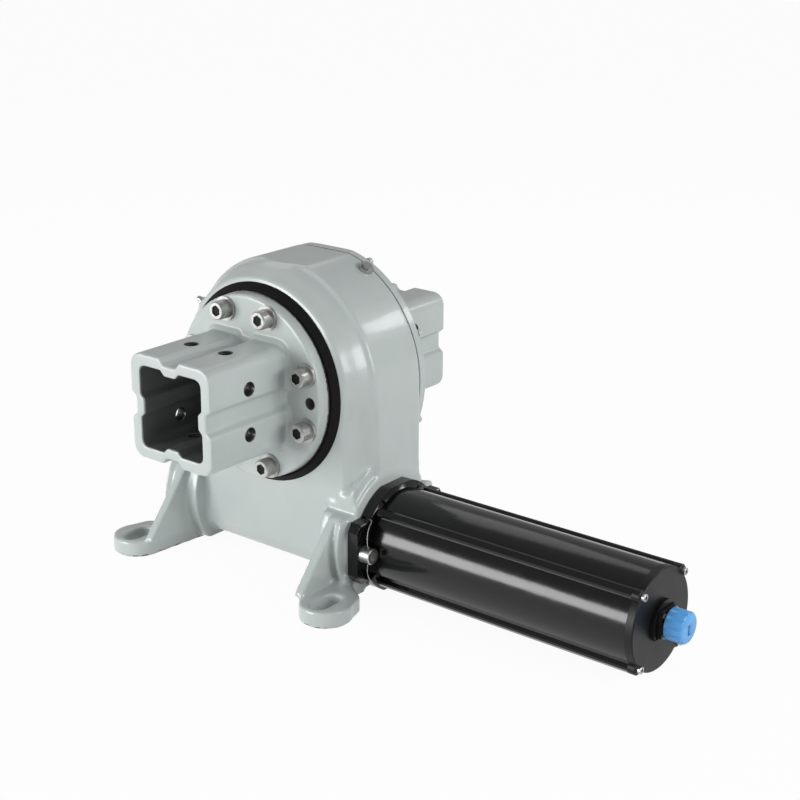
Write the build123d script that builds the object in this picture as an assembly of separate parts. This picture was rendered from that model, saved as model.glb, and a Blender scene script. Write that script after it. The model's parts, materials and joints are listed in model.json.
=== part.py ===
from build123d import *
from math import sin, cos, tan, pi, radians, degrees, acos, sqrt
import os

# Slew drive for a solar tracker: one worm stage turning a torque-tube output, driven by a tube motor.
# Frame: output axis along X, motor toward -Y, Z up, z = 0 under the feet. All sizes in mm.

# ---- output and gear set ----
AXIS_H = 194.5          # output axis above the feet
CENTRE = 144.0          # output axis to worm axis
MODULE = 4.0
TEETH = 54
GEAR_W = 34.0           # face width of the worm wheel
FLANK = 0.30            # flank relief per side, wheel and worm together
WORM_LEN = 84.0
SHAFT_R = 20.0
# ---- housing ----
BODY_R = 121.0
BODY_FRONT = -51.0
BODY_REAR = 47.0
SHOULDER_X = -23.0
LIP_R = 106.0
TOP_FLAT = 117.0        # flat on top, above the output axis
BODY_BOTTOM = 10.0
CHAMBER_R = 112.7
FACE_Y = 122.0          # end faces of the worm bosses
BOSS_R = 67.0
# ---- feet ----
FOOT_X = 107.0
FOOT_Y = 129.0
FOOT_R = 26.0
FOOT_T = 17.0
SLOT_W = 18.0
SLOT_L = 36.0
WEB_Y = 98.0
WEB_T = 10.0
# ---- hub, bearings, seals, cover ----
HUB_R = 93.0
HUB_END = 58.0
BUSH_R = 100.0
SEAL_R = 101.0
COVER_R = 120.5
COVER_T = 9.5
GASKET_T = 0.5
COVER_PCR = 116.2
# ---- couplings ----
FLANGE_R = 92.5
FLANGE_FACE = 71.0
COUPLING_END = 176.0
SQ_OUT = 52.0
SQ_IN = 40.5
GROOVE_W = 19.0
GROOVE_D = 6.0
BOLT_PCR = 80.0
BOLT_ANGLE = 20.0
SET_X = 124.0
SET_Y = 22.5
SET_R = 7.0
# ---- motor ----
TUBE_R = 49.0
TUBE_IN = 45.0
ADAPTER_T = 12.0
TUBE_END = 420.0
CAP_T = 8.0
RIB_R = 54.5
RIB_W = 9.0
ADAPTER_PCR = 57.6
PORT_R = 20.0

AXIS = AXIS_H
WZ = AXIS_H - CENTRE
PITCH_R = MODULE * TEETH / 2
WORM_R = CENTRE - PITCH_R
LEAD = pi * MODULE

os.makedirs("parts", exist_ok=True)


def save(name, shape):
    export_step(shape, "parts/" + name + ".step")


def xcyl(r, x0, x1, y=0.0, z=AXIS):
    return Pos((x0 + x1) / 2, y, z) * Rot(0, 90, 0) * Cylinder(r, abs(x1 - x0))


def ycyl(r, y0, y1, x=0.0, z=WZ):
    return Pos(x, (y0 + y1) / 2, z) * Rot(90, 0, 0) * Cylinder(r, abs(y1 - y0))


def box(x0, x1, y0, y1, z0, z1):
    return Pos((x0 + x1) / 2, (y0 + y1) / 2, (z0 + z1) / 2) * Box(abs(x1 - x0), abs(y1 - y0), abs(z1 - z0))


def ring_x(profile):
    # profile of (radius, x) points turned about the output axis
    pts = [(x, r) for r, x in profile]
    face = make_face(Polyline(*pts, close=True))
    return Pos(0, 0, AXIS) * revolve(face, Axis.X)


def around_x(n, start=0.0):
    return [start + 360.0 * i / n for i in range(n)]


def at_x(r, angle):
    # a point at radius r about the output axis, angle from +Y toward +Z
    return r * cos(radians(angle)), AXIS + r * sin(radians(angle))


def at_y(r, angle):
    # a point at radius r about the worm axis, angle from +X toward +Z
    return r * cos(radians(angle)), WZ + r * sin(radians(angle))


def cap_screw_x(y, z, face, d, head_d, head_h, length, side):
    # socket cap screw along X with its head outside the face
    s = side
    a = xcyl(head_d / 2, face, face + s * head_h, y, z)
    a = chamfer(a.edges().filter_by(GeomType.CIRCLE).sort_by(Axis.X)[-1 if s > 0 else 0], head_d * 0.05)
    b = xcyl(d / 2, face - s * length, face, y, z)
    hexa = extrude(Plane(origin=(face + s * head_h, y, z), z_dir=(s, 0, 0)) * RegularPolygon(d * 0.48, 6), -head_h * 0.5)
    return a + b - hexa


def cap_screw_y(x, z, face, d, head_d, head_h, length, side, sock=True):
    s = side
    a = ycyl(head_d / 2, face, face + s * head_h, x, z)
    a = chamfer(a.edges().filter_by(GeomType.CIRCLE).sort_by(Axis.Y)[-1 if s > 0 else 0], head_d * 0.05)
    b = ycyl(d / 2, face - s * length, face, x, z)
    hexa = extrude(Plane(origin=(x, face + s * head_h, z), z_dir=(0, s, 0)) * RegularPolygon(d * 0.48, 6), -head_h * 0.5)
    return a + b - hexa


# ---------------------------------------------------------------- housing
def body_solid():
    rear = xcyl(BODY_R, SHOULDER_X, BODY_REAR)
    nose = ring_x([(0, BODY_FRONT), (LIP_R - 1.5, BODY_FRONT), (LIP_R, BODY_FRONT + 1.5), (LIP_R + 3, -43), (LIP_R + 8, -34), (BODY_R - 4.5, -27), (BODY_R - 3.5, SHOULDER_X), (0, SHOULDER_X)])
    # straight sides below the axis, narrower toward the front
    plan = Polyline((BODY_FRONT, -(LIP_R - 4)), (-38, -(LIP_R + 5)), (SHOULDER_X, -(BODY_R - 3)), (SHOULDER_X + 4, -BODY_R), (BODY_REAR, -BODY_R),
                    (BODY_REAR, BODY_R), (SHOULDER_X + 4, BODY_R), (SHOULDER_X, BODY_R - 3), (-38, LIP_R + 5), (BODY_FRONT, LIP_R - 4), close=True)
    low = extrude(Pos(0, 0, 60) * make_face(plan), AXIS - 60)
    base = box(BODY_FRONT, BODY_REAR, -112, 112, BODY_BOTTOM, 62)
    base = fillet(base.edges().filter_by(Axis.Y).sort_by(Axis.Z)[:2], 22)
    side = box(BODY_FRONT + 2, BODY_REAR, -FACE_Y, FACE_Y, BODY_BOTTOM, 60)
    side = fillet(side.edges().filter_by(Axis.Y).sort_by(Axis.Z)[:2], 22)
    b = rear + nose + low + base
    for s in (-1, 1):
        boss = ycyl(BOSS_R, s * 84, s * FACE_Y)
        boss = boss + Pos(0, s * 108, WZ) * Rot(s * 90, 0, 0) * Cone(BOSS_R + 12, BOSS_R, 20)
        boss = boss - box(-100, 100, -140, 140, -60, 3)
        block = box(-59, 59, s * WEB_Y, s * FACE_Y, 4, WZ + 31)
        block = fillet(block.edges().filter_by(Axis.Y), 4)
        b = b + boss + block
    return b


def foot(sx, sy):
    lug = extrude(make_face(Polyline((-FOOT_X, FOOT_Y - FOOT_R), (-40, FOOT_Y - FOOT_R - 6), (-40, FACE_Y), (-60, FACE_Y), (-78, FOOT_Y + FOOT_R - 8), (-FOOT_X, FOOT_Y + FOOT_R), close=True)), FOOT_T)
    lug = lug + Pos(-FOOT_X, FOOT_Y, FOOT_T / 2) * Cylinder(FOOT_R, FOOT_T)
    web = extrude(Plane.XZ.offset(-WEB_Y) * make_face(Polyline((-118, FOOT_T - 1), (-118, FOOT_T + 3), (-44, FOOT_T + 3 + 74 * 1.235), (-44, FOOT_T - 1), close=True)), -WEB_T)
    throat = extrude(Plane.XZ.offset(-WEB_Y) * make_face(Polyline((-80, FOOT_T - 1), (-72, FOOT_T + 4), (-64, FOOT_T + 14), (-58, FOOT_T + 30), (-50, FOOT_T + 30), (-50, FOOT_T - 1), close=True)), -(FACE_Y - WEB_Y - 0.5))
    f = lug + web + throat
    slot = Pos(-FOOT_X, FOOT_Y, FOOT_T / 2) * extrude(SlotOverall(SLOT_L, SLOT_W), FOOT_T / 2 + 1, both=True)
    f = f - slot
    if sx > 0:
        f = mirror(f, Plane.YZ)
    if sy < 0:
        f = mirror(f, Plane.XZ)
    return f


housing = body_solid()
for sx in (-1, 1):
    for sy in (-1, 1):
        housing = housing + foot(sx, sy)
# flat on top
housing = housing - box(-150, 150, -100, 100, AXIS + TOP_FLAT, AXIS + 200)
# small grease boss on the far rim
g_ang = 24.0
gy, gz = at_x(BODY_R, g_ang)
g_boss = Pos(-12, gy, gz) * Rot(g_ang - 90, 0, 0) * Cylinder(10, 14)
housing = housing + g_boss
p_ang = 118.6
py, pz = at_x(BODY_R - 1, p_ang)
# chambers
housing = housing - xcyl(CHAMBER_R, -20, BODY_REAR + 1) - xcyl(BUSH_R, -42, -19) - xcyl(SEAL_R, BODY_FRONT - 1, -41)
housing = housing - ycyl(41.0, -FACE_Y - 1, FACE_Y + 1)
# grease passage and plug seat
housing = housing - Pos(-12, gy, gz) * Rot(g_ang - 90, 0, 0) * Cylinder(3, 60)
housing = housing - Pos(38, *at_x(BODY_R, p_ang)) * Rot(p_ang - 90, 0, 0) * Cylinder(4, 60)
# threads for the cover, adapter and end cap screws
for a in around_x(8, 22.5):
    housing = housing - xcyl(2.5, BODY_REAR - 16, BODY_REAR + 1, *at_x(COVER_PCR, a))
for s in (-1, 1):
    housing = housing - ycyl(5.0, -FACE_Y - 1, -FACE_Y + 26, s * ADAPTER_PCR, WZ)
for a in around_x(6, 30):
    x, z = at_y(45.6, a)
    housing = housing - ycyl(2.5, FACE_Y - 14, FACE_Y + 1, x, z)
save("gear_housing", housing)

# ---------------------------------------------------------------- rear cover
c0 = BODY_REAR + GASKET_T
c1 = c0 + COVER_T
cover = ring_x([(SEAL_R, 41), (BUSH_R, 41), (BUSH_R, 19), (CHAMBER_R - 0.4, 19), (CHAMBER_R - 0.4, c0), (COVER_R, c0), (COVER_R, c1 - 2), (COVER_R - 2, c1), (SEAL_R + 5, c1), (SEAL_R, c1 - 5)])
# room for the worm under the spigot
cover = cover - ycyl(42.0, -150, 150)
cover = cover - box(-10, 120, -100, 100, AXIS + TOP_FLAT, AXIS + 200)
for a in around_x(8, 22.5):
    cover = cover - xcyl(2.8, 0, 80, *at_x(COVER_PCR, a))
save("rear_cover", cover)
gasket = xcyl(COVER_R, BODY_REAR, c0) - xcyl(CHAMBER_R + 0.3, BODY_REAR - 1, c0 + 1) - box(-10, 120, -100, 100, AXIS + TOP_FLAT, AXIS + 200)
for a in around_x(8, 22.5):
    gasket = gasket - xcyl(2.7, 0, 80, *at_x(COVER_PCR, a))
save("cover_gasket", gasket)
save("rear_cover_screws", Compound(children=[cap_screw_x(*at_x(COVER_PCR, a), c1, 5, 8.4, 5, c1 - BODY_REAR + 12, 1) for a in around_x(8, 22.5)]))

# ---------------------------------------------------------------- seals and bushes
for s, nm in ((-1, "front"), (1, "rear")):
    ring = ring_x([(HUB_R + 0.35, s * 42), (SEAL_R, s * 42), (SEAL_R, s * 51.5), (HUB_R + 2.5, s * 57.6), (HUB_R + 0.6, s * 57.2), (HUB_R + 0.35, s * 54)])
    save(nm + "_seal_ring", ring)
    bush = xcyl(BUSH_R, s * 17.4, s * 40.6) - xcyl(HUB_R + 0.06, s * 17, s * 41)
    save(nm + "_bearing_ring", bush)

# ---------------------------------------------------------------- worm wheel and hub
base_r = PITCH_R * cos(radians(20))


def inv(a):
    return tan(a) - a


def half_tooth(r):
    return pi / (2 * TEETH) + inv(radians(20)) - inv(acos(base_r / r)) - FLANK / PITCH_R


def gear_outline(x, twist):
    root, tip = PITCH_R - 5.0, PITCH_R + 4.0
    pts = []
    for i in range(TEETH):
        c = -pi / 2 + pi / TEETH + 2 * pi * i / TEETH + twist
        for sgn, rs in ((-1, (root, PITCH_R - 2.2, PITCH_R + 1, tip)), (1, (tip, PITCH_R + 1, PITCH_R - 2.2, root))):
            for r in rs:
                a = c + sgn * half_tooth(r)
                pts.append((x, r * cos(a), AXIS + r * sin(a)))
    return make_face(Polyline(*pts, close=True))


# the helix moves along the worm by this much from the middle to each side of the wheel
half_shift = (LEAD / 360.0) * degrees(GEAR_W / 2 / (WORM_R + 0.4)) / PITCH_R
TWIST_SIGN = 1.0
faces = [gear_outline(-GEAR_W / 2, -TWIST_SIGN * half_shift), gear_outline(GEAR_W / 2, TWIST_SIGN * half_shift)]
wheel = loft(faces, ruled=True)
hub = xcyl(HUB_R, -HUB_END, HUB_END) - xcyl(52, -HUB_END - 1, HUB_END + 1)
wheel = (wheel - xcyl(HUB_R - 8, -40, 40)) + hub
bolt_angles = [base + d for base in (0, 90, 180, 270) for d in (-BOLT_ANGLE, BOLT_ANGLE)]
for s in (-1, 1):
    for a in bolt_angles:
        wheel = wheel - xcyl(6.0, s * 34, s * (HUB_END + 1), *at_x(BOLT_PCR, a))
save("worm_wheel", wheel)

# ---------------------------------------------------------------- output couplings


def socket_outline(h, r, groove, w_out, w_in):
    # a rounded square with a shallow trapezoid notch in the middle of each side
    pts = []
    for k in range(4):
        a = k * 90.0
        side = [(h, -h + r), (h, -w_out / 2), (h - groove, -w_in / 2), (h - groove, w_in / 2), (h, w_out / 2), (h, h - r)]
        n = 5
        corner = [(h - r + r * cos(radians(t)), h - r + r * sin(radians(t))) for t in [90.0 * i / n for i in range(1, n)]]
        for u, v in side + corner:
            pts.append((u * cos(radians(a)) - v * sin(radians(a)), u * sin(radians(a)) + v * cos(radians(a))))
    return pts


def coupling(s):
    f = xcyl(FLANGE_R, s * HUB_END, s * FLANGE_FACE)
    f = chamfer(f.edges().filter_by(GeomType.CIRCLE).sort_by(Axis.X)[-1 if s > 0 else 0], 1.2)
    seat = xcyl(51.6, s * (HUB_END - 4), s * (HUB_END + 1))
    pl = Plane(origin=(s * (HUB_END + 1), 0, AXIS), x_dir=(0, 1, 0), z_dir=(s, 0, 0))
    outer = extrude(pl * make_face(Polyline(*socket_outline(SQ_OUT, 13, GROOVE_D, GROOVE_W + 6, GROOVE_W - 3), close=True)), COUPLING_END - HUB_END - 1)
    outer = chamfer(outer.faces().sort_by(Axis.X)[-1 if s > 0 else 0].edges(), 1.0)
    pl2 = Plane(origin=(s * (FLANGE_FACE - 6), 0, AXIS), x_dir=(0, 1, 0), z_dir=(s, 0, 0))
    inner = extrude(pl2 * make_face(Polyline(*socket_outline(SQ_IN, 7, GROOVE_D - 1, GROOVE_W + 4, GROOVE_W - 5), close=True)), COUPLING_END - FLANGE_FACE + 10)
    # soft root between socket and flange
    root = extrude(Plane(origin=(s * (FLANGE_FACE - 1), 0, AXIS), x_dir=(0, 1, 0), z_dir=(s, 0, 0)) * make_face(Polyline(*socket_outline(SQ_OUT + 3, 15, GROOVE_D, GROOVE_W + 2, GROOVE_W - 8), close=True)), 4)
    c = f + seat + outer + root - inner
    for a in (0, 90, 180, 270):
        for v in (-SET_Y, SET_Y):
            hole = Pos(s * SET_X, v, 46) * Cylinder(SET_R, 30)
            c = c - Pos(0, 0, AXIS) * Rot(a, 0, 0) * hole
    for a in bolt_angles:
        c = c - xcyl(6.8, s * 50, s * 90, *at_x(BOLT_PCR, a))
    for a in (0, 180):
        c = c - xcyl(5.75, s * 57, s * 90, *at_x(BOLT_PCR, a))
    return c


for s, nm in ((-1, "front"), (1, "rear")):
    save(nm + "_coupling", coupling(s))
    ws = []
    bs = []
    for a in bolt_angles:
        y, z = at_x(BOLT_PCR, a)
        ws.append(xcyl(12, s * FLANGE_FACE, s * (FLANGE_FACE + 2.5), y, z) - xcyl(6.3, s * 60, s * 90, y, z))
        bs.append(cap_screw_x(y, z, s * (FLANGE_FACE + 2.5), 12, 18, 12, FLANGE_FACE + 2.5 - 36, s))
    save(nm + "_coupling_washers", Compound(children=ws))
    save(nm + "_coupling_screws", Compound(children=bs))

# ---------------------------------------------------------------- worm
root_r = WORM_R - 5.0
tip_r = WORM_R + 4.0
hw_tip = LEAD / 4 - FLANK - 4.0 * tan(radians(20))
hw_root = LEAD / 4 - FLANK + 5.0 * tan(radians(20))
turns_len = WORM_LEN - 12
prof_pts = [(root_r - 1.5, -hw_root - 0.3), (root_r, -hw_root), (tip_r, -hw_tip), (tip_r, hw_tip), (root_r, hw_root), (root_r - 1.5, hw_root + 0.3)]
n_half = int(turns_len / 2 / LEAD) + 2
STEPS = 24
sections = []
for i in range(2 * n_half * STEPS + 1):
    t = 2 * pi * i / STEPS
    rise = LEAD * i / STEPS
    sections.append(make_face(Polyline(*[(r * cos(t), r * sin(t), rise + v) for r, v in prof_pts], close=True)))
thread = loft(sections, ruled=True)
# turned so that it runs along Y with a thread centre under the wheel
phase = -90.0
thread = Pos(0, -n_half * LEAD, WZ) * Rot(-90, 0, 0) * Rot(0, 0, phase) * thread
keep = ycyl(tip_r, -turns_len / 2, turns_len / 2)
thread = thread & keep
worm = thread + ycyl(root_r - 0.5, -WORM_LEN / 2, WORM_LEN / 2) + ycyl(SHAFT_R, -112, 112) + ycyl(SHAFT_R + 5, -72, 72)
worm = worm - ycyl(12, -113, -74) - box(-4, 4, -113, -80, WZ, WZ + 15.5)
save("worm", worm)
shaft = ycyl(12, -170, -78) - box(-4, 4, -112, -82, WZ + 8, WZ + 20)
save("drive_shaft", shaft)
save("shaft_key", box(-4, 4, -112, -82, WZ + 8, WZ + 15.3))

# bearings of the worm
for s, nm in ((-1, "motor_side"), (1, "far_side")):
    outer = ycyl(41.0, s * 74, s * 94) - ycyl(30.3, s * 73, s * 95)
    inner = ycyl(30.0, s * 74, s * 94) - ycyl(SHAFT_R, s * 73, s * 95)
    save("worm_bearing_" + nm, outer)
    save("worm_race_" + nm, inner)
seal = ycyl(41.0, -118, -108) - ycyl(SHAFT_R + 0.06, -119, -107) - (ycyl(36, -119, -111) - ycyl(25, -119, -111))
save("worm_oil_seal", seal)
spacer = ycyl(41.0, 94, 118) - ycyl(34, 93, 119)
save("bearing_spacer", spacer)
cap = ycyl(50.0, FACE_Y + 0.5, FACE_Y + 9) + ycyl(40.7, FACE_Y - 4, FACE_Y + 1) - ycyl(30, FACE_Y - 5, FACE_Y + 3)
cap = cap - (ycyl(51, FACE_Y + 6, FACE_Y + 10) - ycyl(38, FACE_Y + 6, FACE_Y + 10))
cap_gasket = ycyl(50.0, FACE_Y, FACE_Y + 0.5) - ycyl(41.2, FACE_Y - 1, FACE_Y + 1)
cs = []
for a in around_x(6, 30):
    x, z = at_y(45.6, a)
    cap = cap - ycyl(2.8, 100, 150, x, z)
    cap_gasket = cap_gasket - ycyl(2.7, 100, 150, x, z)
    cs.append(cap_screw_y(x, z, FACE_Y + 6, 5, 8.4, 5, 6 + 10, 1))
save("worm_end_cap", cap)
save("end_cap_gasket", cap_gasket)
save("end_cap_screws", Compound(children=cs))

# grease nipple and filler plug
nip = Cylinder(5.2, 3) + Pos(0, 0, 3.5) * Cylinder(3.2, 4) + Pos(0, 0, 6.5) * Sphere(2.8) + Pos(0, 0, -6) * Cylinder(3, 12)
save("grease_nipple", Pos(-12, *at_x(BODY_R + 7 + 1.5, g_ang)) * Rot(g_ang - 90, 0, 0) * nip)
plug = Cylinder(7.5, 3) + Pos(0, 0, 1) * extrude(RegularPolygon(5.5, 6), 3.5) + Pos(0, 0, -4) * Cylinder(4, 7)
save("filler_plug", Pos(38, *at_x(BODY_R + 1.5, p_ang)) * Rot(p_ang - 90, 0, 0) * plug)

# ---------------------------------------------------------------- motor
a0 = FACE_Y + 0.5
a1 = a0 + ADAPTER_T
oct_pts = [(-67, -22), (-52, -44), (-34, -50), (34, -50), (52, -44), (67, -22), (67, 22), (55, 43), (36, 54), (-36, 54), (-55, 43), (-67, 22)]
adapter = extrude(Plane(origin=(0, -a0, WZ), x_dir=(1, 0, 0), z_dir=(0, -1, 0)) * make_face(Polyline(*oct_pts, close=True)), ADAPTER_T)
adapter = adapter + ycyl(40.7, -FACE_Y + 3.5, -a0 - 1)
adapter = adapter - ycyl(22, -FACE_Y + 8, -a1 - 1)
m_gasket = extrude(Plane(origin=(0, -FACE_Y, WZ), x_dir=(1, 0, 0), z_dir=(0, -1, 0)) * make_face(Polyline(*oct_pts, close=True)), 0.5) - ycyl(41.2, -FACE_Y + 1, -a0 - 1)
m_gasket = m_gasket & ycyl(66.0, -FACE_Y + 1, -a0 - 1)
ab = []
aw = []
for s in (-1, 1):
    adapter = adapter - ycyl(5.6, -100, -150, s * ADAPTER_PCR, WZ)
    m_gasket = m_gasket - ycyl(5.3, -100, -150, s * ADAPTER_PCR, WZ)
    aw.append(ycyl(8.2, -a1, -a1 - 2, s * ADAPTER_PCR, WZ) - ycyl(5.3, -100, -150, s * ADAPTER_PCR, WZ) - ycyl(TUBE_R + 0.1, -100, -200))
    ab.append(cap_screw_y(s * ADAPTER_PCR, WZ, -a1 - 2, 10, 16, 10, 2 + ADAPTER_T + 0.5 + 18, -1))
save("motor_gasket", m_gasket)

for a in (90, 146, 214, 270, 34, 326):
    x, z = at_y(60.5 if a not in (90, 270) else 45, a)
    if a not in (90, 270):
        adapter = adapter - ycyl(1.6, -a0 + 1, -a1 - 1, x * 0.93, WZ + (z - WZ) * 0.93)
save("motor_adapter", adapter)
save("adapter_washers", Compound(children=aw))
save("adapter_bolts", Compound(children=ab))

tube = ycyl(TUBE_R, -a1, -TUBE_END)
ear = ycyl(TUBE_R, -TUBE_END, -TUBE_END - CAP_T)
ear = chamfer(ear.edges().sort_by(Axis.Y)[0], 1.0)
for a in (45, 135, 225, 315):
    bar = Pos((TUBE_R - 6 + RIB_R) / 2, 0, 0) * Box(RIB_R - TUBE_R + 6, TUBE_END - a1 - 2, RIB_W)
    bar = chamfer(bar.edges().filter_by(Axis.Y).sort_by(Axis.X)[-2:], 1.6)
    tube = tube + Pos(0, -(a1 + 2 + TUBE_END) / 2, WZ) * Rot(0, -a, 0) * bar
    lobe = Rot(90, 0, 0) * Cylinder(6.2, CAP_T)
    lobe = Pos(RIB_R - 5.5, 0, 0) * chamfer(lobe.edges().sort_by(Axis.Y)[0], 1.0)
    ear = ear + Pos(0, -TUBE_END - CAP_T / 2, WZ) * Rot(0, -a, 0) * lobe
tube = tube - ycyl(TUBE_IN, -a1 + 1, -TUBE_END - 1)
ear = ear + ycyl(TUBE_IN - 0.0, -TUBE_END, -TUBE_END + 6) - ycyl(TUBE_IN - 4, -TUBE_END - 1, -TUBE_END + 7)
ear = ear + ycyl(PORT_R, -TUBE_END - CAP_T + 0.5, -TUBE_END - CAP_T - 4)
ear = ear - ycyl(9, -TUBE_END + 20, -TUBE_END - 20)
es = []
for a in (45, 135, 225, 315):
    x, z = at_y(RIB_R - 5.2, a)
    tube = tube - ycyl(2.0, -TUBE_END + 14, -TUBE_END - 1, x, z)
    ear = ear - ycyl(2.2, -TUBE_END + 1, -TUBE_END - 20, x, z)
    es.append(cap_screw_y(x, z, -TUBE_END - CAP_T, 4, 7, 3.6, CAP_T + 11, -1))
save("motor_tube", tube)
save("motor_end_cap_screws", Compound(children=es))

# gearhead and motor can, sealed in the tube
gh = ycyl(TUBE_IN, -a1, -a1 - 104) - ycyl(12.4, -a1 + 1, -176) + ycyl(30, -a1 - 104, -a1 - 110)
save("gearhead", gh)
can = ycyl(TUBE_IN - 1.5, -a1 - 110, -a1 - 112) + ycyl(TUBE_IN, -a1 - 112, -398) + ycyl(16, -398, -406)
save("motor_can", can)

# connector on the end cap
p0 = -TUBE_END - CAP_T - 4
port_gasket = box(-13.5, 13.5, p0, p0 - 1, WZ - 13.5, WZ + 13.5) - ycyl(9.5, p0 + 1, p0 - 2)
port = box(-13, 13, p0 - 1, p0 - 4.5, WZ - 13, WZ + 13)
port = fillet(port.edges().filter_by(Axis.Y), 3)
port = port + ycyl(11.5, p0 - 4, p0 - 12) + ycyl(9, p0 + 6, p0 - 2) - ycyl(8.2, p0 - 7, p0 - 13)
ps = []
for sx in (-1, 1):
    for sz in (-1, 1):
        x, z = sx * 9.8, WZ + sz * 9.8
        ear = ear - ycyl(1.25, p0 + 7, p0 - 1, x, z)
        port = port - ycyl(1.4, p0 + 1, p0 - 6, x, z)
        port_gasket = port_gasket - ycyl(1.4, p0 + 1, p0 - 6, x, z)
        ps.append(ycyl(1.25, p0 + 6, p0 - 4.5, x, z) + ycyl(2.3, p0 - 4.5, p0 - 6, x, z))
pins = []
for i in range(5):
    x, z = at_y(4.6, 90 + 72 * i)
    port = port - ycyl(0.8, p0 - 3, p0 - 8, x, z)
    pins.append(ycyl(0.8, p0 - 3, p0 - 10.5, x, z))
save("motor_end_cap", ear)
save("connector_gasket", port_gasket)
save("connector_body", port)
save("connector_screws", Compound(children=ps))
save("connector_pins", Compound(children=pins))
dust = ycyl(15, p0 - 6.8, p0 - 24) - ycyl(11.8, p0 - 6, p0 - 13) - ycyl(9, p0 - 12, p0 - 21)
dust = chamfer(dust.faces().sort_by(Axis.Y)[0].edges(), 1.5)
for i in range(12):
    x, z = at_y(15.6, 30 * i + 15)
    dust = dust - ycyl(1.7, p0 - 9, p0 - 25, x, z)
save("connector_cap", dust)
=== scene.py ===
import bmesh
import bpy
import json
from math import cos, pi, radians, sin
from mathutils import Matrix, Vector


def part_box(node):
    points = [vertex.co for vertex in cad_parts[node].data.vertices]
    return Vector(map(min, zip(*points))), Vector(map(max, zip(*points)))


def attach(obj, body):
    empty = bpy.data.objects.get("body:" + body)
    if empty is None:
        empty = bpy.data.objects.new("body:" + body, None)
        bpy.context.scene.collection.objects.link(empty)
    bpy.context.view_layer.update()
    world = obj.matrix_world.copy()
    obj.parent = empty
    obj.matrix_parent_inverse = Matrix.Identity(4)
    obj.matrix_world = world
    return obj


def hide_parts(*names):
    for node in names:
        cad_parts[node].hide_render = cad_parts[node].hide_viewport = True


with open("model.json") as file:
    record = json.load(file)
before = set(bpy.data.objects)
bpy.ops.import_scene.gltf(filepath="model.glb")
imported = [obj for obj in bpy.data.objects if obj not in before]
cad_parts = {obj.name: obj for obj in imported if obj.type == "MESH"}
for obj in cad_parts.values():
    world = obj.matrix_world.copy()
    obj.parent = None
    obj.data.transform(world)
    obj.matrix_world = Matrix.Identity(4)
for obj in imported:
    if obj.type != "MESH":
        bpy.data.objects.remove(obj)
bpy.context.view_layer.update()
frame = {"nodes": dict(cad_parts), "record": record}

MM = 0.001
# ---------------------------------------------------------------- places taken from the frame
wheel_low, wheel_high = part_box("worm_wheel")
bolts_low, bolts_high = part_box("adapter_bolts")
gasket_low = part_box("cover_gasket")[0]
end_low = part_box("end_cap_gasket")[0]
seal_low, seal_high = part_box("front_seal_ring")
bush_low, bush_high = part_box("front_bearing_ring")
spacer_low, spacer_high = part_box("bearing_spacer")
AXIS_Z = (wheel_low[2] + wheel_high[2]) / 2
MOTOR_Z = (bolts_low[2] + bolts_high[2]) / 2
ADAPTER_FACE_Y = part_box("motor_adapter")[0][1]
BOLT_HEAD_Y = bolts_low[1]
SCREW_FACE_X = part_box("front_coupling_screws")[0][0]
CAP_END_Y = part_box("connector_cap")[0][1]
REAR_X = gasket_low[0]
END_Y = end_low[1]
SEAL_R = (seal_high[1] - seal_low[1]) / 2
BUSH_R = (bush_high[1] - bush_low[1]) / 2
TUNNEL_R = (spacer_high[0] - spacer_low[0]) / 2

# ---------------------------------------------------------------- sizes of the couplings
SOCKET_HALF = 52 * MM
WALL = 11.5 * MM
FLANGE_FACE = 71 * MM
FLANGE_BACK = 58 * MM
CLAMP_X = 124 * MM
CLAMP_GAP = 22.5 * MM
CLAMP_R = 7 * MM
BOLT_CIRCLE_R = 80 * MM
BOLT_SPREAD = radians(20)
SCREW_HOLE_R = 6.8 * MM
SCREW_PLUG_R = 7.4 * MM
PLAIN_HOLE_R = 5.75 * MM
PLAIN_PLUG_R = 6.4 * MM
PLAIN_MASK_R = 6.1 * MM

# ---------------------------------------------------------------- sizes of the housing, adapter and wire
LIP_X = -51 * MM
CHAMBER_R = 112.7 * MM
PLUG_OVER = 1 * MM
CUT_PAST = 4 * MM
BORE_PAST = 5 * MM
COLLAR_TOP = MOTOR_Z + 33 * MM
ADAPTER_R = 56.5 * MM
LOBE_X = 68 * MM
LOBE_HALF = 31 * MM
STRAND_R = 0.24 * MM


# ---------------------------------------------------------------- small builders for node trees
def link(tree, a, b):
    tree.links.new(a, b)


def add(tree, kind, **values):
    node = tree.nodes.new(kind)
    for key, value in values.items():
        setattr(node, key, value)
    return node


def new_group(name, ins, outs):
    """A shader node group with named sockets; ins are (name, type, default)."""
    g = bpy.data.node_groups.new(name, "ShaderNodeTree")
    for label, kind, default in ins:
        s = g.interface.new_socket(name=label, in_out="INPUT", socket_type="NodeSocket" + kind)
        s.default_value = default
    for label, kind in outs:
        g.interface.new_socket(name=label, in_out="OUTPUT", socket_type="NodeSocket" + kind)
    return g, add(g, "NodeGroupInput"), add(g, "NodeGroupOutput")


def noise(tree, coords, scale, detail=3.0, rough=0.5):
    n = add(tree, "ShaderNodeTexNoise")
    n.inputs["Detail"].default_value = detail
    n.inputs["Roughness"].default_value = rough
    link(tree, coords, n.inputs["Vector"])
    if isinstance(scale, (int, float)):
        n.inputs["Scale"].default_value = scale
    else:
        link(tree, scale, n.inputs["Scale"])
    return n


def ramp(tree, value, low, high):
    """value between low and high becomes 0 to 1."""
    n = add(tree, "ShaderNodeMapRange", interpolation_type="SMOOTHSTEP")
    n.inputs["From Min"].default_value = low
    n.inputs["From Max"].default_value = high
    link(tree, value, n.inputs["Value"])
    return n.outputs["Result"]


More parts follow.
